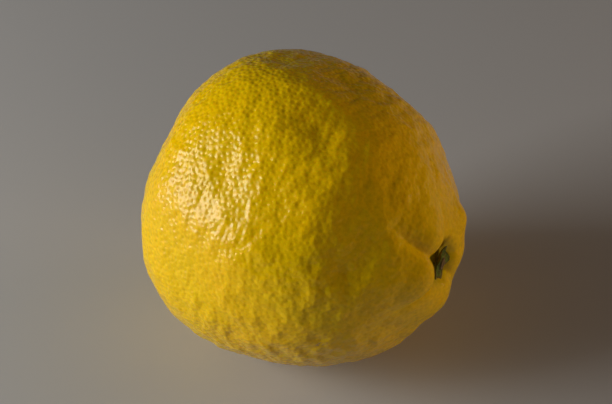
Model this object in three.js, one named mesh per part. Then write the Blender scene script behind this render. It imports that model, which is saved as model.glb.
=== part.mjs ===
// A whole lemon with the green calyx button that stays in its stem end when it is picked.
// Millimetres, +Z up. The stem end points along +X and the pointed blossom end along -X. The origin
// is under the middle of the fruit, on the surface that it lies on.
//
// The fruit is one closed skin given by a formula: its distance from the growth centre in every
// direction. That distance is a smooth oval of revolution, plus swells and dents, minus the pit that
// holds the button and the furrows that run out of the pit.

import * as THREE from "three";
import { mergeVertices } from "three/addons/utils/BufferGeometryUtils.js";

// The oval: a ball made longer, blunter at the stem end and fuller in the middle by three waves.
const BALL_RADIUS = 36.25;
const LENGTH_WAVE = -0.0256;
const TAPER_WAVE = 0.049;
const SQUARE_WAVE = -0.0336;

// The growth centre stands this high, a little less than the skin's reach below it, so the lowest
// part of the skin is pressed flat where the fruit lies.
const CENTRE_HEIGHT = 35.45;

// Places on the skin are an arc from the stem axis, measured on a ball of this radius, and an angle
// in degrees round the axis: 0 is up, 90 is towards -Y, 180 is down.
const ARC_BALL = 36;

// The stem grows a little to one side of the fruit's long axis.
const STEM_ARC = 3;
const STEM_ANGLE = 314;

// The pit that the button sits in.
const PIT_DEPTH = 3.4;
const PIT_RADIUS = 5.2;

// Swells (positive height) and dents (negative): arc from the stem, angle round it, height, spread.
const SWELLS = [
  { name: "collar", arc: 0, angle: 0, height: 1.3, spread: 10 },
  { name: "near lobe", arc: 8.7, angle: 88, height: 2.7, spread: 4.6 },
  { name: "upper lobe", arc: 8.5, angle: 17, height: 2, spread: 4.2 },
  { name: "nub", arc: 13, angle: 290, height: 1.8, spread: 2.5 },
  { name: "low lobe", arc: 12.5, angle: 162, height: 1.1, spread: 4.2 },
  { name: "under lobe", arc: 11.5, angle: 188, height: 1.4, spread: 3.5 },
  { name: "far lobe", arc: 9.5, angle: 250, height: 1.2, spread: 3.5 },
  { name: "low flat", arc: 17, angle: 110, height: -1, spread: 7.5 },
  { name: "shoulder flat beyond the nub", arc: 23, angle: 306, height: -1.5, spread: 8 },
  { name: "shoulder swell beyond the nub", arc: 33, angle: 308, height: 0.8, spread: 4.5 },
  { name: "cheek dent", arc: 26, angle: 51, height: -0.6, spread: 4.5 },
  { name: "cheek hollow", arc: 27, angle: 65, height: -1.2, spread: 3.8 },
  { name: "cheek swell", arc: 19, angle: 77, height: 0.9, spread: 3.8 },
  { name: "low shoulder swell", arc: 28, angle: 164, height: 0.6, spread: 4 },
  { name: "crest", arc: 49, angle: 9, height: 2, spread: 15.5 },
  { name: "stem end of the crest", arc: 34, angle: 10, height: 0.9, spread: 5.5 },
  { name: "ridge above the crest's dent", arc: 56, angle: 0, height: 0.6, spread: 3.6 },
  { name: "ridge beside the crest's dent", arc: 48, angle: 3, height: 0.9, spread: 3.2 },
  { name: "ridge below the crest's dent", arc: 37, angle: 24, height: 0.7, spread: 3.2 },
  { name: "foot of the ridge", arc: 37, angle: 44, height: 0.7, spread: 3 },
  { name: "dent in the crest", arc: 46, angle: 14, height: -1.2, spread: 3.6 },
  { name: "flat beyond the crest", arc: 63, angle: 340, height: -1.5, spread: 6.5 },
  { name: "valley beyond the ridge", arc: 50, angle: 343, height: -1.3, spread: 5 },
  { name: "upper flat", arc: 63, angle: 41, height: -1.9, spread: 9 },
  { name: "blossom flat", arc: 72, angle: 75, height: -1.2, spread: 7 },
  { name: "lower flat", arc: 66, angle: 83, height: -1.3, spread: 7 },
  { name: "belly ridge", arc: 51, angle: 67, height: 0.6, spread: 6 },
  { name: "belly swell", arc: 40, angle: 98, height: 0.4, spread: 8 },
  { name: "blossom side flat", arc: 87, angle: 36, height: -0.8, spread: 5 },
  { name: "far side dent", arc: 55, angle: 226, height: -0.9, spread: 8 },
  { name: "far side swell", arc: 75, angle: 200, height: 0.7, spread: 9 },
  { name: "blossom cone", arc: 110, angle: 314, height: 4.2, spread: 8.5 },
  { name: "blossom nipple", arc: 110, angle: 314, height: 3, spread: 3.8 },
  { name: "crease above the nipple", arc: 103, angle: 330, height: -1, spread: 2.6 },
  { name: "crease beside the nipple", arc: 105, angle: 262, height: -0.7, spread: 2.4 },
];

// Furrows that run out of the pit: angle where they start, how far they curve on the way, depth,
// width of the bank on the low-angle side and on the high-angle side, and where they fade out.
const FURROWS = [
  { name: "deep crease", angle: 44, bend: -6, depth: 2.7, lowBank: 3.2, highBank: 1, reach: 24 },
  { name: "low crease", angle: 120, bend: -10, depth: 1.8, lowBank: 1.6, highBank: 1.2, reach: 19 },
  { name: "under crease", angle: 213, bend: 0, depth: 1.3, lowBank: 1, highBank: 1, reach: 13 },
  { name: "far crease", angle: 262, bend: 0, depth: 0.5, lowBank: 1.2, highBank: 1.2, reach: 13 },
  { name: "upper crease", angle: 340, bend: 0, depth: 1.2, lowBank: 2.4, highBank: 2.4, reach: 21 },
];
const FURROW_BEND_FROM = 5;
const FURROW_BOTTOM = 0.25;
const FURROW_FADE = 5;
const FURROW_START = 1.5;
const FURROW_RUN_IN = 3;

// The button: a lobed disc on the floor of the pit, with the low scar of the broken stem on it.
const BUTTON_RADIUS = 4.6;
const BUTTON_LOBES = 5;
const BUTTON_LOBE_DEPTH = 0.09;
const BUTTON_RIM = 0.6;
const BUTTON_CROWN = 1.1;
const SCAR_RADIUS = 1.5;
const SCAR_HEIGHT = 0.5;
const BUTTON_GAP = 0.3;

// How finely the skin is cut into facets: rings from end to end, closer at the stem, and sectors.
const SKIN_RINGS = 56;
const SKIN_SECTORS = 84;
const STEM_CROWDING = 0.28;
const BUTTON_SECTORS = 60;

const peel = new THREE.MeshStandardMaterial({ color: "#dcb40a", roughness: 0.42, metalness: 0 });
const calyx = new THREE.MeshStandardMaterial({ color: "#4c5a1e", roughness: 0.8, metalness: 0 });

// The direction of a place on the skin, in the frame whose +X is the given axis.
function direction(arc, angle) {
  const polar = arc / ARC_BALL;
  const around = THREE.MathUtils.degToRad(angle);
  const side = Math.sin(polar);
  return new THREE.Vector3(Math.cos(polar), -side * Math.sin(around), side * Math.cos(around));
}

const stemTurn = new THREE.Quaternion().setFromUnitVectors(
  new THREE.Vector3(1, 0, 0),
  direction(STEM_ARC, STEM_ANGLE),
);

// How deep a furrow cuts at a point `side` millimetres off the stem axis, at an angle round it.
function furrowDepth(furrow, side, around) {
  const bend = (furrow.bend * (side - FURROW_BEND_FROM)) / 10;
  const turn = around - THREE.MathUtils.degToRad(furrow.angle + bend);
  if (Math.cos(turn) <= 0) return 0;
  const across = side * Math.sin(turn);
  const bank = across < 0 ? furrow.lowBank : furrow.highBank;
  const rounded = Math.hypot(across, FURROW_BOTTOM) - FURROW_BOTTOM;
  const fade = THREE.MathUtils.smoothstep(furrow.reach - side, 0, furrow.reach - FURROW_FADE);
  const start = THREE.MathUtils.clamp((side - FURROW_START) / FURROW_RUN_IN, 0, 1);
  return furrow.depth * Math.exp(-rounded / bank) * fade * start;
}

// The skin's distance from the growth centre without its furrows. `seen` is the direction in the
// stem's frame and `dir` is the same direction in the fruit's frame.
function smoothRadius(seen, dir) {
  const polar = Math.acos(THREE.MathUtils.clamp(dir.x, -1, 1));
  const waves =
    LENGTH_WAVE * Math.cos(2 * polar) +
    TAPER_WAVE * Math.cos(3 * polar) +
    SQUARE_WAVE * Math.cos(4 * polar);
  let radius = BALL_RADIUS * (1 + waves);
  for (const swell of SWELLS) {
    const away = seen.distanceTo(direction(swell.arc, swell.angle)) * ARC_BALL;
    radius += swell.height * Math.exp(-0.5 * (away / swell.spread) ** 2);
  }
  if (seen.x > 0) {
    const side = ARC_BALL * Math.hypot(seen.y, seen.z);
    radius -= PIT_DEPTH * Math.exp(-((side / PIT_RADIUS) ** 4));
  }
  return radius;
}

function skinRadius(seen, dir) {
  let radius = smoothRadius(seen, dir);
  if (seen.x > 0) {
    const side = ARC_BALL * Math.hypot(seen.y, seen.z);
    const around = Math.atan2(-seen.y, seen.z);
    for (const furrow of FURROWS) radius -= furrowDepth(furrow, side, around);
  }
  return radius;
}

// Moves every vertex of a ball-like shape to the place that `place(direction in stem frame)` gives.
function remade(geometry, place) {
  geometry.deleteAttribute("normal");
  geometry.deleteAttribute("uv");
  const closed = mergeVertices(geometry, 1e-5);
  const points = closed.attributes.position;
  const point = new THREE.Vector3();
  for (let i = 0; i < points.count; i++) {
    const made = place(point.fromBufferAttribute(points, i));
    points.setXYZ(i, made.x, made.y, made.z);
  }
  closed.computeVertexNormals();
  return closed;
}

// The fruit: a ball whose pole is the stem, its rings crowded towards the stem, pushed out to the
// skin's radius, and pressed flat where it lies.
function fruitGeometry() {
  const ball = new THREE.SphereGeometry(1, SKIN_SECTORS, SKIN_RINGS).rotateZ(-Math.PI / 2);
  return remade(ball, (point) => {
    const even = Math.acos(THREE.MathUtils.clamp(point.x, -1, 1));
    const crowded = even - STEM_CROWDING * Math.sin(even);
    const around = Math.atan2(-point.y, point.z);
    const seen = direction(crowded * ARC_BALL, THREE.MathUtils.radToDeg(around));
    const dir = seen.clone().applyQuaternion(stemTurn);
    const made = dir.clone().multiplyScalar(skinRadius(seen, dir));
    made.z = Math.max(made.z + CENTRE_HEIGHT, 0);
    return made;
  });
}

// The button is turned from an outline of radius and height above the floor of the pit. Its radius
// is then drawn in between the lobes, and its height is laid on the floor, a small gap above it.
function buttonGeometry() {
  const outline = [
    new THREE.Vector2(0, 0),
    new THREE.Vector2(0.5 * BUTTON_RADIUS, 0),
    new THREE.Vector2(0.97 * BUTTON_RADIUS, 0),
    new THREE.Vector2(BUTTON_RADIUS, 0.5 * BUTTON_RIM),
    new THREE.Vector2(0.94 * BUTTON_RADIUS, BUTTON_RIM),
    new THREE.Vector2(0.72 * BUTTON_RADIUS, 0.5 * (BUTTON_RIM + BUTTON_CROWN)),
    new THREE.Vector2(1.12 * SCAR_RADIUS, BUTTON_CROWN),
    new THREE.Vector2(SCAR_RADIUS, BUTTON_CROWN + 0.8 * SCAR_HEIGHT),
    new THREE.Vector2(0.85 * SCAR_RADIUS, BUTTON_CROWN + SCAR_HEIGHT),
    new THREE.Vector2(0, BUTTON_CROWN + 0.7 * SCAR_HEIGHT),
  ];
  const turned = new THREE.LatheGeometry(outline, BUTTON_SECTORS).rotateZ(-Math.PI / 2);
  return remade(turned, (point) => {
    const around = Math.atan2(-point.y, point.z);
    const side = Math.hypot(point.y, point.z);
    const outer = (side / BUTTON_RADIUS) ** 2;
    const drawnIn = 1 - BUTTON_LOBE_DEPTH * outer * (1 + Math.cos(BUTTON_LOBES * around));
    const seen = direction(side * drawnIn, THREE.MathUtils.radToDeg(around));
    const dir = seen.clone().applyQuaternion(stemTurn);
    const made = dir.clone().multiplyScalar(smoothRadius(seen, dir) + BUTTON_GAP + point.x);
    made.z += CENTRE_HEIGHT;
    return made;
  });
}

const lemonFruit = new THREE.Mesh(fruitGeometry(), peel);
lemonFruit.name = "lemon_fruit";

const stemButton = new THREE.Mesh(buttonGeometry(), calyx);
stemButton.name = "stem_button";

// The origin goes under the middle of the fruit's own box.
lemonFruit.geometry.computeBoundingBox();
const middle = lemonFruit.geometry.boundingBox.getCenter(new THREE.Vector3());

const lemon = new THREE.Group();
lemon.add(lemonFruit, stemButton);
for (const piece of lemon.children) piece.geometry.translate(-middle.x, -middle.y, 0);

export default lemon;
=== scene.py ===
# %% [markdown]
# # A whole lemon
# A nearly round lemon lies on a pale floor. It has two pieces: the fruit, whose waxy yellow peel is
# pitted with thousands of oil glands, and the dry green calyx button that stays in the stem pit.
# Each piece is grown by a Geometry Nodes tree from a rule and is then given a material of its own.

# %% Load the fixed frame
import math

import bpy
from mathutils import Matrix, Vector


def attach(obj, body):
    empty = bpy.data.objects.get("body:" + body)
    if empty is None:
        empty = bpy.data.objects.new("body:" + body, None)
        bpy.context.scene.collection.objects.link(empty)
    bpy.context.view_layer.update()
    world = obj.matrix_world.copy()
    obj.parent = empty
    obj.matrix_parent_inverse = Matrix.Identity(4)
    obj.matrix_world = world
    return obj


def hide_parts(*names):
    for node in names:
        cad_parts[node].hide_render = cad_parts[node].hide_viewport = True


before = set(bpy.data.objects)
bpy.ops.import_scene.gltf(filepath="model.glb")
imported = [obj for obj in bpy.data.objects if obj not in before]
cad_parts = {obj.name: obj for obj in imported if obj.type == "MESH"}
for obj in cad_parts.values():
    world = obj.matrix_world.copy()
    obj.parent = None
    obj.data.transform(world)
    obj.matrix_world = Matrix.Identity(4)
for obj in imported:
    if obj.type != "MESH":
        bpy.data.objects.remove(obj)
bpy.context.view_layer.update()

MM = 0.001

# %% [markdown]
# ## The camera and the stage
# A fruit on a table is looked down on, from the side that shows the stem pit. A long lens keeps its
# outline honest. Directions are worked out from an azimuth (0 looks along +Y) and an elevation.

# %% Place the camera
GROWTH_CENTRE = Vector((0.386, -0.532, 35.45)) * MM
CAMERA_AZIMUTH = math.radians(36)
CAMERA_ELEVATION = math.radians(40)
CAMERA_DISTANCE = 508 * MM
CAMERA_AIM_ABOVE = 2.9 * MM
LENS = 130


def camera_axes(azimuth, elevation):
    """The camera's right, up and back directions."""
    flat = math.cos(elevation)
    back = Vector((math.sin(azimuth) * flat, -math.cos(azimuth) * flat, math.sin(elevation)))
    right = Vector((math.cos(azimuth), math.sin(azimuth), 0))
    return right, back.cross(right), back


right, up, back = camera_axes(CAMERA_AZIMUTH, CAMERA_ELEVATION)
aim = GROWTH_CENTRE + up * CAMERA_AIM_ABOVE
camera = bpy.data.objects.new("camera", bpy.data.cameras.new("camera"))
camera.data.lens = LENS
camera.data.clip_start = 0.01
camera.location = aim + back * CAMERA_DISTANCE
camera.rotation_euler = back.to_track_quat("Z", "Y").to_euler()
bpy.context.scene.collection.objects.link(camera)
bpy.context.scene.camera = camera
print("the camera stands", [round(v / MM) for v in camera.location], "mm from the origin")

# %% [markdown]
# ## Soft studio light
# Citrus peel is read by raking light. A soft panel low on the left draws every bump, and the right
# side falls into a warm shadow. A warm low panel behind on the right, a weak one in front of it and a
# dim even sky keep that shadow open. Both right panels are kept out of the wax's shine, so the peel
# has one clear highlight. All are area lights, because a window or a soft box is one too.

# %% Place the lights
def panel(name, direction, distance, size, power, colour, glossy=True):
    """A square area light that faces the fruit from a direction. It may stay out of the wax's shine."""
    light = bpy.data.lights.new(name, "AREA")
    light.shape = "SQUARE"
    light.size = size
    light.energy = power
    light.color = colour
    holder = bpy.data.objects.new(name, light)
    holder.visible_glossy = glossy
    towards = direction.normalized()
    holder.location = GROWTH_CENTRE + towards * distance
    holder.rotation_euler = towards.to_track_quat("Z", "Y").to_euler()
    bpy.context.scene.collection.objects.link(holder)
    return holder


panel("window", -0.93 * right + 0.11 * up + 0.31 * back, 0.60, 0.34, 3.7, (1.0, 0.98, 0.92))
panel("far_side", Vector((0.71, 0.68, 0.12)), 0.70, 0.24, 1.9, (1.0, 0.73, 0.52), glossy=False)
panel("near_side", Vector((0.81, -0.50, 0.30)), 0.80, 0.50, 0.4, (1.0, 0.80, 0.60), glossy=False)

world = bpy.data.worlds.new("sky")
world.use_nodes = True
world.node_tree.nodes["Background"].inputs["Color"].default_value = (0.95, 0.95, 1.0, 1)
world.node_tree.nodes["Background"].inputs["Strength"].default_value = 0.018
bpy.context.scene.world = world
bpy.context.scene.view_settings.view_transform = "Standard"

# %% [markdown]
# ## Arithmetic that builds node trees
# The fruit's shape is a formula, and so are most of its colours. Written as single nodes a formula is
# hard to read, so a small class stands for a value on its way through a tree: adding or multiplying
# two of them adds the matching math node. It works in geometry trees and in shader trees alike.

# %% Define fields
NUMBER_RESULTS = ("LENGTH", "DISTANCE", "DOT_PRODUCT")


def plug(tree, value, socket):
    """Puts a field, or a plain value, on an input socket."""
    if isinstance(value, Field):
        tree.links.new(value.socket, socket)
    else:
        socket.default_value = value


class Field:
    """A number or a vector that flows through a node tree."""

    def __init__(self, tree, socket):
        self.tree = tree
        self.socket = socket

    def made(self, kind, operation, values, output=0):
        node = self.tree.nodes.new(kind)
        node.operation = operation
        for socket, value in zip(node.inputs, values):
            plug(self.tree, value, socket)
        return Field(self.tree, node.outputs[output])

    def math(self, operation, *others):
        return self.made("ShaderNodeMath", operation, (self, *others))

    def vector(self, operation, *others):
        output = "Value" if operation in NUMBER_RESULTS else "Vector"
        return self.made("ShaderNodeVectorMath", operation, (self, *others), output)

    def scaled(self, factor):
        node = self.tree.nodes.new("ShaderNodeVectorMath")
        node.operation = "SCALE"
        plug(self.tree, self, node.inputs["Vector"])
        plug(self.tree, factor, node.inputs["Scale"])
        return Field(self.tree, node.outputs["Vector"])

    def __add__(self, other):
        return self.math("ADD", other)

    def __sub__(self, other):
        return self.math("SUBTRACT", other)

    def __mul__(self, other):
        return self.math("MULTIPLY", other)

    def __truediv__(self, other):
        return self.math("DIVIDE", other)

    def __neg__(self):
        return self.math("MULTIPLY", -1.0)

    def part(self, axis):
        """One coordinate of a vector."""
        node = self.tree.nodes.new("ShaderNodeSeparateXYZ")
        plug(self.tree, self, node.inputs[0])
        return Field(self.tree, node.outputs[axis])

    def ramp(self, low, high, start=0.0, end=1.0, smooth=True):
        """This number carried from low..high to start..end, held at both ends."""
        node = self.tree.nodes.new("ShaderNodeMapRange")
        node.interpolation_type = "SMOOTHSTEP" if smooth else "LINEAR"
        for socket, value in zip(node.inputs, (self, low, high, start, end)):
            plug(self.tree, value, socket)
        return Field(self.tree, node.outputs[0])

    def bell(self, width):
        """exp(-(this / width)^2 / 2)"""
        scaled = self / width
        return (scaled * scaled * -0.5).math("EXPONENT")


def joined(tree, x, y, z):
    """A vector made of three numbers."""
    node = tree.nodes.new("ShaderNodeCombineXYZ")
    for socket, value in zip(node.inputs, (x, y, z)):
        plug(tree, value, socket)
    return Field(tree, node.outputs[0])


def noise(place, grain, detail=2.0, roughness=0.5):
    """Cloudy noise from 0 to 1 on places in metres. grain is the size of its blobs in metres."""
    node = place.tree.nodes.new("ShaderNodeTexNoise")
    plug(place.tree, place, node.inputs["Vector"])
    node.inputs["Scale"].default_value = 1.0 / grain
    node.inputs["Detail"].default_value = detail
    node.inputs["Roughness"].default_value = roughness
    return Field(place.tree, node.outputs["Fac"])


def new_group(name, kind, inputs, outputs):
    """A node group, a dictionary of its inputs as fields, and its output node."""
    tree = bpy.data.node_groups.new(name, kind)
    for label, socket_type in inputs.items():
        tree.interface.new_socket(label, in_out="INPUT", socket_type=socket_type)
    for label, socket_type in outputs.items():
        tree.interface.new_socket(label, in_out="OUTPUT", socket_type=socket_type)
    source = tree.nodes.new("NodeGroupInput")
    given = {label: Field(tree, source.outputs[label]) for label in inputs}
    return tree, given, tree.nodes.new("NodeGroupOutput")


def use_group(tree, group, values):
    """Places a group in a tree and returns its outputs as fields."""
    node = tree.nodes.new(tree.bl_idname.replace("Tree", "Group"))
    node.node_tree = group
    for label, value in values.items():
        plug(tree, value, node.inputs[label])
    return {socket.name: Field(tree, socket) for socket in node.outputs}


# %% [markdown]
# ## The rule that shapes the fruit
# Every fruit grows outwards from a centre, so its skin can be given as one distance in every
# direction. A smooth oval comes first. Swells and dents are soft bells laid on it: the collar of
# lobes round the stem, the dent on the shoulder, the nipple at the blossom end. Furrows are grooves
# that run out of the stem pit like folds out of a drawn bag. All sizes are in millimetres.
#
# The three waves of the oval and about twenty of the swells began as the results of a numeric fit,
# and ten of those swells are hardly more than rounded. The rest were chosen one by one.

# %% Sizes of the fruit
BALL_RADIUS = 36.25
LENGTH_WAVE = -0.0256
TAPER_WAVE = 0.049
SQUARE_WAVE = -0.0336
ARC_BALL = 36.0
STEM_ARC = 3.0
STEM_ANGLE = 314.0
PIT_DEPTH = 3.4
PIT_RADIUS = 5.2
# name: arc from the stem, angle round it in degrees (0 is up, 90 is -Y), height, spread
SWELLS = {
    "collar": (0, 0, 1.3, 10),
    "near lobe": (8.7, 88, 2.7, 4.6),
    "upper lobe": (8.5, 17, 2.0, 4.2),
    "nub": (13, 290, 1.8, 2.5),
    "low lobe": (12.5, 162, 1.1, 4.2),
    "under lobe": (11.5, 188, 1.4, 3.5),
    "far lobe": (9.5, 250, 1.2, 3.5),
    "low flat": (17, 110, -1.0, 7.5),
    "shoulder flat beyond the nub": (23, 306, -1.5, 8),
    "shoulder swell beyond the nub": (33, 308, 0.8, 4.5),
    "cheek dent": (26, 51, -0.6, 4.5),
    "cheek hollow": (27, 65, -1.2, 3.8),
    "cheek swell": (19, 77, 0.9, 3.8),
    "low shoulder swell": (28, 164, 0.6, 4),
    "crest": (49, 9, 2.0, 15.5),
    "stem end of the crest": (34, 10, 0.9, 5.5),
    "ridge above the crest's dent": (56, 0, 0.6, 3.6),
    "ridge beside the crest's dent": (48, 3, 0.9, 3.2),
    "ridge below the crest's dent": (37, 24, 0.7, 3.2),
    "foot of the ridge": (37, 44, 0.7, 3),
    "dent in the crest": (46, 14, -1.2, 3.6),
    "flat beyond the crest": (63, 340, -1.5, 6.5),
    "valley beyond the ridge": (50, 343, -1.3, 5),
    "upper flat": (63, 41, -1.9, 9),
    "blossom flat": (72, 75, -1.2, 7),
    "lower flat": (66, 83, -1.3, 7),
    "belly ridge": (51, 67, 0.6, 6),
    "belly swell": (40, 98, 0.4, 8),
    "blossom side flat": (87, 36, -0.8, 5),
    "far side dent": (55, 226, -0.9, 8),
    "far side swell": (75, 200, 0.7, 9),
    "blossom cone": (110, 314, 4.2, 8.5),
    "blossom nipple": (110, 314, 3.0, 3.8),
    "crease above the nipple": (103, 330, -1.0, 2.6),
    "crease beside the nipple": (105, 262, -0.7, 2.4),
}
# name: angle where it leaves the pit, bend on the way, depth, low bank, high bank, reach
FURROWS = {
    "deep crease": (44, -6, 2.7, 3.2, 1.0, 24),
    "low crease": (120, -10, 1.8, 1.6, 1.2, 19),
    "under crease": (213, 0, 1.3, 1.0, 1.0, 13),
    "far crease": (262, 0, 0.5, 1.2, 1.2, 13),
    "upper crease": (340, 0, 1.2, 2.4, 2.4, 21),
}
FURROW_BEND_FROM = 5.0
FURROW_BOTTOM = 0.25
FURROW_FADE = 5.0
FURROW_START = 1.5
FURROW_RUN_IN = 3.0


# %% One swell, as a group
def swell_group():
    tree, given, out = new_group(
        "swell",
        "GeometryNodeTree",
        {"Seen": "NodeSocketVector", "Place": "NodeSocketVector",
         "Height": "NodeSocketFloat", "Spread": "NodeSocketFloat"},
        {"Height": "NodeSocketFloat"},
    )
    away = given["Seen"].vector("DISTANCE", given["Place"]) * ARC_BALL
    plug(tree, away.bell(given["Spread"]) * given["Height"], out.inputs["Height"])
    return tree


# %% One furrow, as a group
def furrow_group():
    """A groove with a soft bottom. Its banks may differ, and it fades in at the pit and out again."""
    numbers = ("Side", "Around", "Angle", "Bend", "Depth", "Low Bank", "High Bank", "Reach")
    tree, given, out = new_group(
        "furrow",
        "GeometryNodeTree",
        {label: "NodeSocketFloat" for label in numbers},
        {"Depth": "NodeSocketFloat"},
    )
    side = given["Side"]
    bend = (side - FURROW_BEND_FROM) * 0.1 * given["Bend"]
    turn = given["Around"] - (given["Angle"] + bend).math("RADIANS")
    across = side * turn.math("SINE")
    facing = turn.math("COSINE").math("GREATER_THAN", 0.0)
    on_high_bank = across.math("GREATER_THAN", 0.0)
    bank = given["Low Bank"] + (given["High Bank"] - given["Low Bank"]) * on_high_bank
    rounded = (across * across + FURROW_BOTTOM**2).math("SQRT") - FURROW_BOTTOM
    groove = (-rounded / bank).math("EXPONENT")
    fade = (given["Reach"] - side).ramp(0.0, given["Reach"] - FURROW_FADE)
    start = side.ramp(FURROW_START, FURROW_START + FURROW_RUN_IN, smooth=False)
    plug(tree, given["Depth"] * groove * fade * start * facing, out.inputs["Depth"])
    return tree


# %% The whole skin, as a group
def direction(arc, angle):
    """A direction from the growth centre, in the frame whose +X is the axis."""
    polar = arc / ARC_BALL
    around = math.radians(angle)
    side = math.sin(polar)
    return Vector((math.cos(polar), -side * math.sin(around), side * math.cos(around)))


def skin_group():
    """From a direction in the stem's frame to the direction in the fruit's frame and the skin."""
    tree, given, out = new_group(
        "skin",
        "GeometryNodeTree",
        {"Seen": "NodeSocketVector"},
        {"Direction": "NodeSocketVector", "Smooth Radius": "NodeSocketFloat",
         "Skin Radius": "NodeSocketFloat", "Side": "NodeSocketFloat", "Around": "NodeSocketFloat"},
    )
    seen = given["Seen"]
    turn = tree.nodes.new("ShaderNodeVectorRotate")
    turn.rotation_type = "AXIS_ANGLE"
    stem = direction(STEM_ARC, STEM_ANGLE)
    turn.inputs["Axis"].default_value = Vector((1, 0, 0)).cross(stem).normalized()
    turn.inputs["Angle"].default_value = STEM_ARC / ARC_BALL
    plug(tree, seen, turn.inputs["Vector"])
    fruit_direction = Field(tree, turn.outputs[0])

    polar = fruit_direction.part("X").math("MINIMUM", 1.0).math("MAXIMUM", -1.0).math("ARCCOSINE")
    waves = (
        (polar * 2.0).math("COSINE") * LENGTH_WAVE
        + (polar * 3.0).math("COSINE") * TAPER_WAVE
        + (polar * 4.0).math("COSINE") * SQUARE_WAVE
    )
    radius = (waves + 1.0) * BALL_RADIUS
    one_swell = swell_group()
    for arc, angle, height, spread in SWELLS.values():
        values = {"Seen": seen, "Place": direction(arc, angle), "Height": height, "Spread": spread}
        radius = radius + use_group(tree, one_swell, values)["Height"]

    towards_stem = seen.part("X").math("GREATER_THAN", 0.0)
    off_axis = joined(tree, 0.0, seen.part("Y"), seen.part("Z")).vector("LENGTH") * ARC_BALL
    side = off_axis + (towards_stem * -1000.0 + 1000.0)
    around = (-seen.part("Y")).math("ARCTAN2", seen.part("Z"))
    pit = (-(side / PIT_RADIUS).math("POWER", 4.0)).math("EXPONENT") * PIT_DEPTH
    smooth = radius - pit
    skin = smooth
    one_furrow = furrow_group()
    for angle, bend, depth, low_bank, high_bank, reach in FURROWS.values():
        values = {"Side": side, "Around": around, "Angle": angle, "Bend": bend, "Depth": depth,
                  "Low Bank": low_bank, "High Bank": high_bank, "Reach": reach}
        skin = skin - use_group(tree, one_furrow, values)["Depth"]
    results = {"Direction": fruit_direction, "Smooth Radius": smooth, "Skin Radius": skin,
               "Side": side, "Around": around}
    for label, field in results.items():
        plug(tree, field, out.inputs[label])
    return tree


skin = skin_group()
print("the skin rule has", len(SWELLS), "swells and", len(FURROWS), "furrows in", len(skin.nodes), "nodes")

# %% [markdown]
# ## Pores and relief
# The peel of a lemon is full of oil glands. Each one pulls the skin in to a small pit, and the skin
# between them stands up in a net of soft ridges. The glands keep their distance from each other, so
# they are scattered as points with a least spacing, which is what growth does, where plain noise
# would clump them. Every point of the skin then looks up its nearest gland and sinks by its distance
# from it. Slower noise adds the waves of a hand-sized fruit. All of it only pushes inwards.

# %% Sizes of the relief
CUBE_SIDE_POINTS = 128
STEM_CROWDING = 0.12
PORE_SPACING = 1.22
PORE_SEED = 7
PIT_SINK = 0.06
PIT_WIDTH = 0.40
WAVE_GRAIN = 8.5
WAVE_HEIGHT = 1.2
LUMP_GRAIN = 3.7
LUMP_STRETCH = (1.3, 0.8, 0.8)
LUMP_HEIGHT = 2.1
PEBBLE_GRAIN = 1.9
PEBBLE_HEIGHT = 0.14
RELIEF_BIAS = 1.20
SMOOTH_SIDE = 8.0
ROUGH_SIDE = 19.0
SMALLEST_PORE = 0.65
LARGEST_PORE = 1.2
MOST_PORES_PER_SQUARE_METRE = 6e6


# %% Steps that several trees share
def store(tree, mesh, name, value, kind, domain):
    """Stores a field on the mesh under a name, so that the peel's material can read it."""
    node = tree.nodes.new("GeometryNodeStoreNamedAttribute")
    node.data_type = kind
    node.domain = domain
    plug(tree, mesh, node.inputs["Geometry"])
    node.inputs["Name"].default_value = name
    plug(tree, value, node.inputs["Value"])
    return Field(tree, node.outputs["Geometry"])


def moved(tree, mesh, place):
    node = tree.nodes.new("GeometryNodeSetPosition")
    plug(tree, mesh, node.inputs["Geometry"])
    plug(tree, place, node.inputs["Position"])
    return Field(tree, node.outputs["Geometry"])


def nearest_pore(tree, pores, place, value, kind):
    """A value of the pore that is nearest to a place."""
    nearest = tree.nodes.new("GeometryNodeSampleNearest")
    plug(tree, pores, nearest.inputs["Geometry"])
    plug(tree, place, nearest.inputs["Sample Position"])
    sample = tree.nodes.new("GeometryNodeSampleIndex")
    sample.data_type = kind
    plug(tree, pores, sample.inputs["Geometry"])
    plug(tree, value, sample.inputs["Value"])
    tree.links.new(nearest.outputs["Index"], sample.inputs["Index"])
    return Field(tree, sample.outputs["Value"])


def named(tree, name, kind):
    """A stored attribute, read back inside a geometry tree."""
    node = tree.nodes.new("GeometryNodeInputNamedAttribute")
    node.data_type = kind
    node.inputs["Name"].default_value = name
    return node.outputs["Attribute"]


def finish_tree(tree, mesh, material, out):
    """Smooth shading, real geometry and a material: the end of every tree here."""
    smooth = tree.nodes.new("GeometryNodeSetShadeSmooth")
    plug(tree, mesh, smooth.inputs["Geometry"])
    real = tree.nodes.new("GeometryNodeRealizeInstances")
    tree.links.new(smooth.outputs[0], real.inputs[0])
    finish = tree.nodes.new("GeometryNodeSetMaterial")
    tree.links.new(real.outputs[0], finish.inputs["Geometry"])
    plug(tree, material, finish.inputs["Material"])
    tree.links.new(finish.outputs[0], out.inputs["Geometry"])


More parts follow.
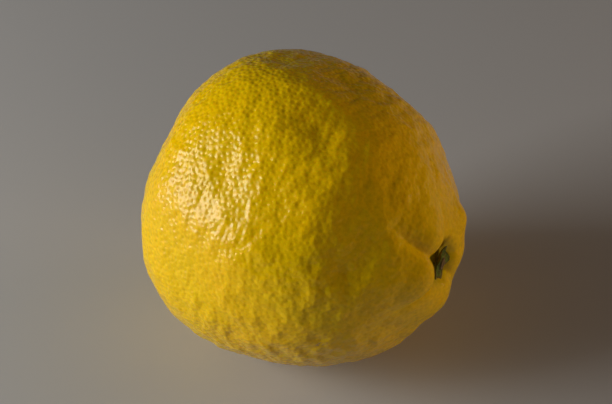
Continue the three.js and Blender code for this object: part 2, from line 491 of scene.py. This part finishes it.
# %% The fruit's tree
def fruit_tree():
    tree, given, out = new_group(
        "lemon fruit",
        "GeometryNodeTree",
        {"Pore Spacing": "NodeSocketFloat", "Pore Seed": "NodeSocketInt", "Pit Sink": "NodeSocketFloat",
         "Pit Width": "NodeSocketFloat", "Wave Height": "NodeSocketFloat", "Lump Height": "NodeSocketFloat",
         "Pebble Height": "NodeSocketFloat", "Material": "NodeSocketMaterial"},
        {"Geometry": "NodeSocketGeometry"},
    )
    tree.is_modifier = True

    # A ball with even facets: a gridded cube, its grid lines spread by equal angles, then made round.
    cube = tree.nodes.new("GeometryNodeMeshCube")
    cube.inputs["Size"].default_value = (2, 2, 2)
    for label in ("Vertices X", "Vertices Y", "Vertices Z"):
        cube.inputs[label].default_value = CUBE_SIDE_POINTS
    mesh = Field(tree, cube.outputs["Mesh"])
    grid = Field(tree, tree.nodes.new("GeometryNodeInputPosition").outputs[0])
    spread = [(grid.part(axis) * (math.pi / 4)).math("TANGENT") for axis in ("X", "Y", "Z")]
    even = joined(tree, *spread).vector("NORMALIZE")

    # Its rings are drawn a little towards the stem, where the creases need them.
    polar = even.part("X").math("MINIMUM", 1.0).math("MAXIMUM", -1.0).math("ARCCOSINE")
    crowded = polar - polar.math("SINE") * STEM_CROWDING
    ring = joined(tree, 0.0, even.part("Y"), even.part("Z")).vector("NORMALIZE")
    seen = joined(tree, crowded.math("COSINE"), 0.0, 0.0).vector("ADD", ring.scaled(crowded.math("SINE")))
    mesh = moved(tree, mesh, seen)

    # The smooth skin, in metres, and what the later steps need to know about it.
    here = Field(tree, tree.nodes.new("GeometryNodeInputPosition").outputs[0])
    rule = use_group(tree, skin, {"Seen": here})
    outwards = rule["Direction"]
    mesh = store(tree, mesh, "stem_side", rule["Side"], "FLOAT", "POINT")
    mesh = store(tree, mesh, "outwards", outwards, "FLOAT_VECTOR", "POINT")
    mesh = moved(tree, mesh, outwards.scaled(rule["Skin Radius"] * MM))
    mesh = store(tree, mesh, "skin_place", here, "FLOAT_VECTOR", "POINT")

    # The glands, scattered over it.
    scatter = tree.nodes.new("GeometryNodeDistributePointsOnFaces")
    scatter.distribute_method = "POISSON"
    plug(tree, mesh, scatter.inputs["Mesh"])
    plug(tree, given["Pore Spacing"] * MM, scatter.inputs["Distance Min"])
    scatter.inputs["Density Max"].default_value = MOST_PORES_PER_SQUARE_METRE
    plug(tree, given["Pore Seed"], scatter.inputs["Seed"])
    pores = Field(tree, scatter.outputs["Points"])
    centre = nearest_pore(tree, pores, here, here, "FLOAT_VECTOR")
    dice = tree.nodes.new("FunctionNodeRandomValue")
    dice.data_type = "FLOAT"
    dice.inputs["Min"].default_value = SMALLEST_PORE
    dice.inputs["Max"].default_value = LARGEST_PORE
    size = nearest_pore(tree, pores, here, Field(tree, dice.outputs["Value"]), "FLOAT")
    mesh = store(tree, mesh, "pore_centre", centre, "FLOAT_VECTOR", "FACE")
    mesh = store(tree, mesh, "pore_size", size, "FLOAT", "FACE")

    # The relief, in millimetres: pits at the glands, pebbles between them, lumps and waves.
    side = Field(tree, named(tree, "stem_side", "FLOAT"))
    roughness = side.ramp(SMOOTH_SIDE, ROUGH_SIDE, 0.2, 1.0)
    distance = here.vector("DISTANCE", centre) / MM
    pit = distance.bell(given["Pit Width"] * size) * given["Pit Sink"] * size
    pebbles = (noise(here, PEBBLE_GRAIN * MM, 1.0) - 0.5) * given["Pebble Height"]
    lumps = (noise(here.vector("MULTIPLY", LUMP_STRETCH), LUMP_GRAIN * MM, 1.3) - 0.5) * given["Lump Height"]
    waves = (noise(here, WAVE_GRAIN * MM, 1.0) - 0.5) * given["Wave Height"]
    lumpiness = outwards.part("X").ramp(-0.4, 0.5, 0.10, 1.0)
    relief = (pebbles + lumps * lumpiness - pit + waves * (lumpiness * 0.65 + 0.35)) * roughness
    inset = side.ramp(PIT_RADIUS * 0.6, PIT_RADIUS * 1.7, 0.05, RELIEF_BIAS * 0.5)
    relief = (relief - inset).math("MINIMUM", 0.0)

    # Out along the growth direction, into place, and pressed flat where the fruit lies.
    direction_here = Field(tree, named(tree, "outwards", "FLOAT_VECTOR"))
    place = here.vector("ADD", direction_here.scaled(relief * MM)).vector("ADD", GROWTH_CENTRE)
    lying = joined(tree, place.part("X"), place.part("Y"), place.part("Z").math("MAXIMUM", 0.0))
    mesh = moved(tree, mesh, lying)
    finish_tree(tree, mesh, given["Material"], out)
    return tree


# %% Grow a piece from a tree
def grown(name, tree, values):
    """Runs a tree in a modifier with the given inputs and keeps what comes out as a plain mesh."""
    holder = bpy.data.objects.new(name + "_seed", bpy.data.meshes.new(name + "_seed"))
    bpy.context.scene.collection.objects.link(holder)
    modifier = holder.modifiers.new("grow", "NODES")
    modifier.node_group = tree
    sockets = {s.name: s.identifier for s in tree.interface.items_tree if s.in_out == "INPUT"}
    for label, value in values.items():
        modifier[sockets[label]] = value
    bpy.context.view_layer.update()
    evaluated = holder.evaluated_get(bpy.context.evaluated_depsgraph_get())
    mesh = bpy.data.meshes.new_from_object(evaluated)
    holder.modifiers.remove(modifier)
    bpy.data.objects.remove(holder)
    mesh.name = name
    piece = bpy.data.objects.new(name, mesh)
    bpy.context.scene.collection.objects.link(piece)
    return piece


def described(piece):
    """Prints a piece's size in millimetres and its triangles."""
    corners = [Vector(c) for c in piece.bound_box]
    low = Vector([min(c[i] for c in corners) for i in range(3)]) / MM
    high = Vector([max(c[i] for c in corners) for i in range(3)]) / MM
    triangles = sum(len(p.vertices) - 2 for p in piece.data.polygons)
    print(piece.name, [round(v, 2) for v in low], "to", [round(v, 2) for v in high], triangles, "triangles")


# %% [markdown]
# ## The peel
# Ripe peel is a deep translucent yellow under a thin coat of wax. Its colour drifts: warmer on the
# side that had the sun, greener where leaves shaded it. In the stem pit it is greener and darker; the
# darkening there is painted shade. Each gland shows as a small olive dot, because the oil in it lets
# light through. The tree that grew the skin stored where every gland is, so the dots, the fine pits
# and the solid pits fall on the same places. Low on the near side the peel has a healed scratch, a
# faint broken tan line. It is too thin to be worth geometry, so it is a mask for the colour and the bump.

# %% Helpers for materials
def attribute(tree, name, output="Vector"):
    node = tree.nodes.new("ShaderNodeAttribute")
    node.attribute_name = name
    return Field(tree, node.outputs[output])


def object_place(tree):
    node = tree.nodes.new("ShaderNodeTexCoord")
    return Field(tree, node.outputs["Object"])


def mixed(tree, amount, first, second, blend="MIX"):
    """One colour turned into another by an amount from 0 to 1."""
    node = tree.nodes.new("ShaderNodeMix")
    node.data_type = "RGBA"
    node.blend_type = blend
    plug(tree, amount, node.inputs[0])
    plug(tree, colour(first), node.inputs[6])
    plug(tree, colour(second), node.inputs[7])
    return Field(tree, node.outputs[2])


def colour(value):
    """A plain red, green, blue triple made fit for a colour socket."""
    return value if isinstance(value, Field) else (*value, 1.0)


def bumped(tree, height):
    """A normal bent by a height in millimetres."""
    node = tree.nodes.new("ShaderNodeBump")
    node.inputs["Strength"].default_value = 1.0
    node.inputs["Distance"].default_value = MM
    plug(tree, height, node.inputs["Height"])
    return Field(tree, node.outputs["Normal"])


# %% The glands as a mask and a height
def gland_group():
    tree, given, out = new_group(
        "glands",
        "ShaderNodeTree",
        {"Dot Radius": "NodeSocketFloat", "Pit Width": "NodeSocketFloat", "Pit Depth": "NodeSocketFloat"},
        {"Dot": "NodeSocketFloat", "Height": "NodeSocketFloat"},
    )
    size = attribute(tree, "pore_size", "Fac")
    distance = attribute(tree, "skin_place").vector("DISTANCE", attribute(tree, "pore_centre")) / MM
    radius = given["Dot Radius"] * size
    plug(tree, distance.ramp(radius * 0.5, radius * 1.5, 1.0, 0.0), out.inputs["Dot"])
    pit = distance.bell(given["Pit Width"] * size) * given["Pit Depth"] * size
    plug(tree, -pit, out.inputs["Height"])
    return tree


glands = gland_group()

# %% A healed scratch as a mask
def scratch_group():
    """A thin broken line on the skin between two directions. Its width is in millimetres."""
    tree, given, out = new_group(
        "scratch",
        "ShaderNodeTree",
        {"Start": "NodeSocketVector", "Run": "NodeSocketVector", "Half Width": "NodeSocketFloat"},
        {"Mask": "NodeSocketFloat"},
    )
    seen = attribute(tree, "skin_place").vector("NORMALIZE")
    from_start = seen.vector("SUBTRACT", given["Start"])
    length_squared = given["Run"].vector("DOT_PRODUCT", given["Run"])
    along = (from_start.vector("DOT_PRODUCT", given["Run"]) / length_squared).ramp(0, 1, smooth=False)
    away = from_start.vector("SUBTRACT", given["Run"].scaled(along)).vector("LENGTH") * ARC_BALL
    wobble = (noise(seen, 0.05, 2.0) - 0.5) * 1.2
    line = (away + wobble).ramp(0.0, given["Half Width"], 1.0, 0.0)
    breaks = noise(seen.vector("ADD", (5.0, 5.0, 5.0)), 0.03, 2.0).ramp(0.40, 0.55)
    plug(tree, line * breaks, out.inputs["Mask"])
    return tree


scratch = scratch_group()
stem_turn = Vector((1, 0, 0)).rotation_difference(direction(STEM_ARC, STEM_ANGLE))
scratch_start = stem_turn @ direction(33, 109)
scratch_run = stem_turn @ direction(43, 111) - scratch_start
print("the healed scratch is", round(scratch_run.length * ARC_BALL, 1), "mm long")

# %% The peel's material
SCAR_TAN = (0.560, 0.330, 0.170)
PEEL_YELLOW = (0.830, 0.525, 0.000)
PEEL_WARM = (0.830, 0.460, 0.000)
PEEL_GREEN = (0.680, 0.510, 0.000)
GLAND_OLIVE = (0.300, 0.190, 0.001)
# The pit colour is greener than the peel, which is its own tint, and darker, which is painted shade.
PIT_GREEN_AND_SHADE = (0.300, 0.300, 0.010)

peel = bpy.data.materials.new("peel")
peel.use_nodes = True
tree = peel.node_tree
shader = tree.nodes["Principled BSDF"]
place = object_place(tree)
oil = use_group(tree, glands, {"Dot Radius": 0.24, "Pit Width": 0.34, "Pit Depth": 0.105})

warm = noise(place, 28 * MM, 1.0).ramp(0.42, 0.68)
green = noise(place.vector("ADD", (0.3, 0.1, 0.2)), 17 * MM, 2.0).ramp(0.50, 0.72)
tint = mixed(tree, warm * 0.4, PEEL_YELLOW, PEEL_WARM)
tint = mixed(tree, green * 0.22, tint, PEEL_GREEN)
speckle = noise(place, 1.1 * MM, 3.0, 0.6).ramp(0.30, 0.70, 0.86, 1.08, smooth=False)
tint = mixed(tree, 1.0, tint, joined(tree, speckle, speckle, speckle), "MULTIPLY")
tint = mixed(tree, oil["Dot"] * 0.08, tint, GLAND_OLIVE)
# Towards the stem pit the peel turns green and dark; the dark part is painted shade in the pit.
pit_green_and_shade = attribute(tree, "stem_side", "Fac").ramp(2.5, 7.5, 1.0, 0.0)
tint = mixed(tree, pit_green_and_shade * 0.6, tint, PIT_GREEN_AND_SHADE)
healed = use_group(tree, scratch, {"Start": scratch_start, "Run": scratch_run, "Half Width": 0.45})["Mask"]
tint = mixed(tree, healed * 0.8, tint, SCAR_TAN)
plug(tree, tint, shader.inputs["Base Color"])
plug(tree, noise(place, 2.5 * MM, 3.0).ramp(0.3, 0.7, 0.16, 0.27), shader.inputs["Roughness"])
grain = (noise(place, 0.60 * MM, 2.0) - 0.5) * 0.05
blossom_half = attribute(tree, "outwards").part("X").ramp(-0.3, 0.4, 1.0, 0.45)
plug(tree, bumped(tree, oil["Height"] * blossom_half + grain + healed * 0.08), shader.inputs["Normal"])
shader.inputs["IOR"].default_value = 1.40
shader.inputs["Specular IOR Level"].default_value = 0.40
shader.inputs["Subsurface Weight"].default_value = 0.25
shader.inputs["Subsurface Radius"].default_value = (1.0, 0.45, 0.05)
shader.inputs["Subsurface Scale"].default_value = 1.6 * MM

# %% Grow the fruit
fruit = grown("fruit", fruit_tree(), {
    "Pore Spacing": PORE_SPACING, "Pore Seed": PORE_SEED, "Pit Sink": PIT_SINK, "Pit Width": PIT_WIDTH,
    "Wave Height": WAVE_HEIGHT, "Lump Height": LUMP_HEIGHT, "Pebble Height": PEBBLE_HEIGHT,
    "Material": peel,
})
described(fruit)

# %% [markdown]
# ## The calyx button
# When the fruit is cut from the tree, the green calyx stays behind as a small lobed disc on the floor
# of the pit, with the scar of the broken stalk in its middle. It is leathery, so its lobes are thick,
# ribbed from the scar to their tips and nibbled at the edge; the scar is dry wood with rings. A ball
# of facets is flattened into the disc: its upper half becomes the top and its lower half the
# underside. The disc is then laid on the pit's own floor with the same rule that shaped the fruit.

# %% Sizes of the button
BUTTON_RADIUS = 4.6
BUTTON_LOBES = 5
BUTTON_LOBE_DEPTH = 0.09
BUTTON_RIM = 0.6
BUTTON_CROWN = 1.1
SCAR_RADIUS = 1.5
SCAR_HEIGHT = 0.5
BUTTON_GAP = 0.3


# %% The button's tree
def button_tree():
    tree, given, out = new_group(
        "calyx button",
        "GeometryNodeTree",
        {"Rib Height": "NodeSocketFloat", "Nibble": "NodeSocketFloat", "Grain Height": "NodeSocketFloat",
         "Material": "NodeSocketMaterial"},
        {"Geometry": "NodeSocketGeometry"},
    )
    tree.is_modifier = True
    ball = tree.nodes.new("GeometryNodeMeshUVSphere")
    ball.inputs["Segments"].default_value = 240
    ball.inputs["Rings"].default_value = 160
    ball.inputs["Radius"].default_value = 1.0
    mesh = Field(tree, ball.outputs["Mesh"])
    here = Field(tree, tree.nodes.new("GeometryNodeInputPosition").outputs[0])

    # Across the disc runs from 0 in the middle to 1 at the rim, on both halves of the ball.
    up_and_down = here.part("Z").math("MINIMUM", 1.0).math("MAXIMUM", -1.0)
    polar = up_and_down.math("ARCCOSINE") / (math.pi / 2)
    on_top = up_and_down.math("GREATER_THAN", 0.0)
    across = (polar.math("PINGPONG", 1.0)).math("MINIMUM", 1.0)
    around = here.part("Y").math("ARCTAN2", here.part("X"))
    reach = (across * (math.pi / 2)).math("SINE").math("POWER", 0.8)
    side = reach * (BUTTON_RADIUS * 0.99)

    # The lobes, and a nibbled edge that is only ever drawn further in.
    spot = joined(tree, (around).math("COSINE") * side, around.math("SINE") * side, 0.0)
    lobes = (around * float(BUTTON_LOBES)).math("COSINE") + 1.0
    outer = reach * reach
    nibble = noise(spot, 1.3, 3.0) * given["Nibble"]
    drawn_in = (outer * (lobes * BUTTON_LOBE_DEPTH + nibble)) * -1.0 + 1.0
    side = side * drawn_in

    # The top: rim to crown, with ribs, folds between the lobes and a ringed scar.
    crown = reach.ramp(0.33, 1.0, BUTTON_CROWN, BUTTON_RIM, smooth=False)
    wood = (side / SCAR_RADIUS).ramp(0.86, 1.06, 1.0, 0.0)
    scar = wood * SCAR_HEIGHT * ((side / SCAR_RADIUS).ramp(0.0, 0.8, 0.55, 1.0))
    rib = ((around * (BUTTON_LOBES / 2.0)).math("SINE")).math("ABSOLUTE").math("POWER", 8.0)
    fine = ((around * 17.0 + noise(spot, 1.5, 2.0) * 6.0).math("SINE") * 0.5 + 0.5)
    grooves = (-rib + 1.0) * 0.6 + fine * 0.4
    leaf = reach.ramp(0.36, 0.55) * given["Rib Height"] * grooves
    rings = ((side * 9.0 + noise(spot, 0.8, 2.0) * 3.0).math("SINE") * 0.5 + 0.5) * wood * 0.10
    grain = noise(spot, 0.5, 3.0) * given["Grain Height"]
    edge = (-(reach.math("POWER", 14.0)) + 1.0).math("MAXIMUM", 0.0).math("SQRT")
    top = (crown + scar - leaf - rings - grain - 0.04) * edge
    mid_rim = BUTTON_RIM * 0.45
    under = on_top * -1.0 + 1.0
    height = on_top * (top - edge * mid_rim) - under * edge * mid_rim + mid_rim

    # Laid on the pit's floor, a small gap above it.
    turned = side / ARC_BALL
    seen = joined(
        tree, turned.math("COSINE"),
        -(turned.math("SINE") * around.math("SINE")), turned.math("SINE") * around.math("COSINE"),
    )
    rule = use_group(tree, skin, {"Seen": seen})
    mesh = store(tree, mesh, "leaf_side", side, "FLOAT", "POINT")
    mesh = store(tree, mesh, "leaf_edge", reach, "FLOAT", "POINT")
    distance = (rule["Smooth Radius"] + height + BUTTON_GAP) * MM
    place = rule["Direction"].scaled(distance).vector("ADD", GROWTH_CENTRE)
    mesh = moved(tree, mesh, place)
    finish_tree(tree, mesh, given["Material"], out)
    return tree


# %% The calyx's material
LEAF_GREEN = (0.130, 0.170, 0.012)
LEAF_DARK = (0.040, 0.055, 0.006)
LEAF_DRY = (0.180, 0.105, 0.025)
WOOD_BROWN = (0.230, 0.150, 0.060)
WOOD_DARK = (0.060, 0.035, 0.015)

calyx = bpy.data.materials.new("calyx")
calyx.use_nodes = True
tree = calyx.node_tree
shader = tree.nodes["Principled BSDF"]
place = object_place(tree)
leaf_side = attribute(tree, "leaf_side", "Fac")
leaf_edge = attribute(tree, "leaf_edge", "Fac")
mottle = noise(place, 1.4 * MM, 4.0, 0.6).ramp(0.38, 0.64)
tint = mixed(tree, mottle, LEAF_GREEN, LEAF_DARK)
dry = (noise(place.vector("ADD", (0.1, 0.2, 0.3)), 0.9 * MM, 3.0) + leaf_edge * 0.25).ramp(0.66, 0.80)
tint = mixed(tree, dry * 0.8, tint, LEAF_DRY)
rings = (leaf_side * 9.0 + noise(place, 0.8 * MM, 2.0) * 4.0).math("SINE") * 0.5 + 0.5
wood = mixed(tree, rings * 0.7, WOOD_BROWN, WOOD_DARK)
on_scar = (leaf_side / SCAR_RADIUS).ramp(0.90, 1.08, 1.0, 0.0)
tint = mixed(tree, on_scar, tint, wood)
plug(tree, tint, shader.inputs["Base Color"])
plug(tree, noise(place, 0.7 * MM, 3.0).ramp(0.3, 0.7, 0.50, 0.78), shader.inputs["Roughness"])
fibres = noise(place, 0.18 * MM, 3.0) * 0.03 + rings * on_scar * 0.03
plug(tree, bumped(tree, fibres), shader.inputs["Normal"])

# %% Grow the button
button = grown("button", button_tree(), {
    "Rib Height": 0.22, "Nibble": 0.16, "Grain Height": 0.08, "Material": calyx,
})
described(button)

# %% [markdown]
# ## The floor
# The fruit lies on a plain pale surface, which throws some of the window's light back up under it.
# It belongs to the stage, not to the object.

# %% Lay the floor
FLOOR_HALF = 3.0
corners = [(-FLOOR_HALF, -FLOOR_HALF, 0), (FLOOR_HALF, -FLOOR_HALF, 0)]
corners += [(FLOOR_HALF, FLOOR_HALF, 0), (-FLOOR_HALF, FLOOR_HALF, 0)]
floor_mesh = bpy.data.meshes.new("floor")
floor_mesh.from_pydata(corners, [], [(0, 1, 2, 3)])
floor = bpy.data.objects.new("floor", floor_mesh)
bpy.context.scene.collection.objects.link(floor)
plain = bpy.data.materials.new("plain_floor")
plain.use_nodes = True
plain.node_tree.nodes["Principled BSDF"].inputs["Base Color"].default_value = (0.50, 0.50, 0.51, 1)
plain.node_tree.nodes["Principled BSDF"].inputs["Roughness"].default_value = 0.7
floor_mesh.materials.append(plain)
print("the floor is", 2 * FLOOR_HALF, "m wide")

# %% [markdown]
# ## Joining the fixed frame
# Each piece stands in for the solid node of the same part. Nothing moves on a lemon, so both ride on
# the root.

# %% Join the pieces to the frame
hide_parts("lemon_fruit")
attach(fruit, "root")
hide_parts("stem_button")
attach(button, "root")
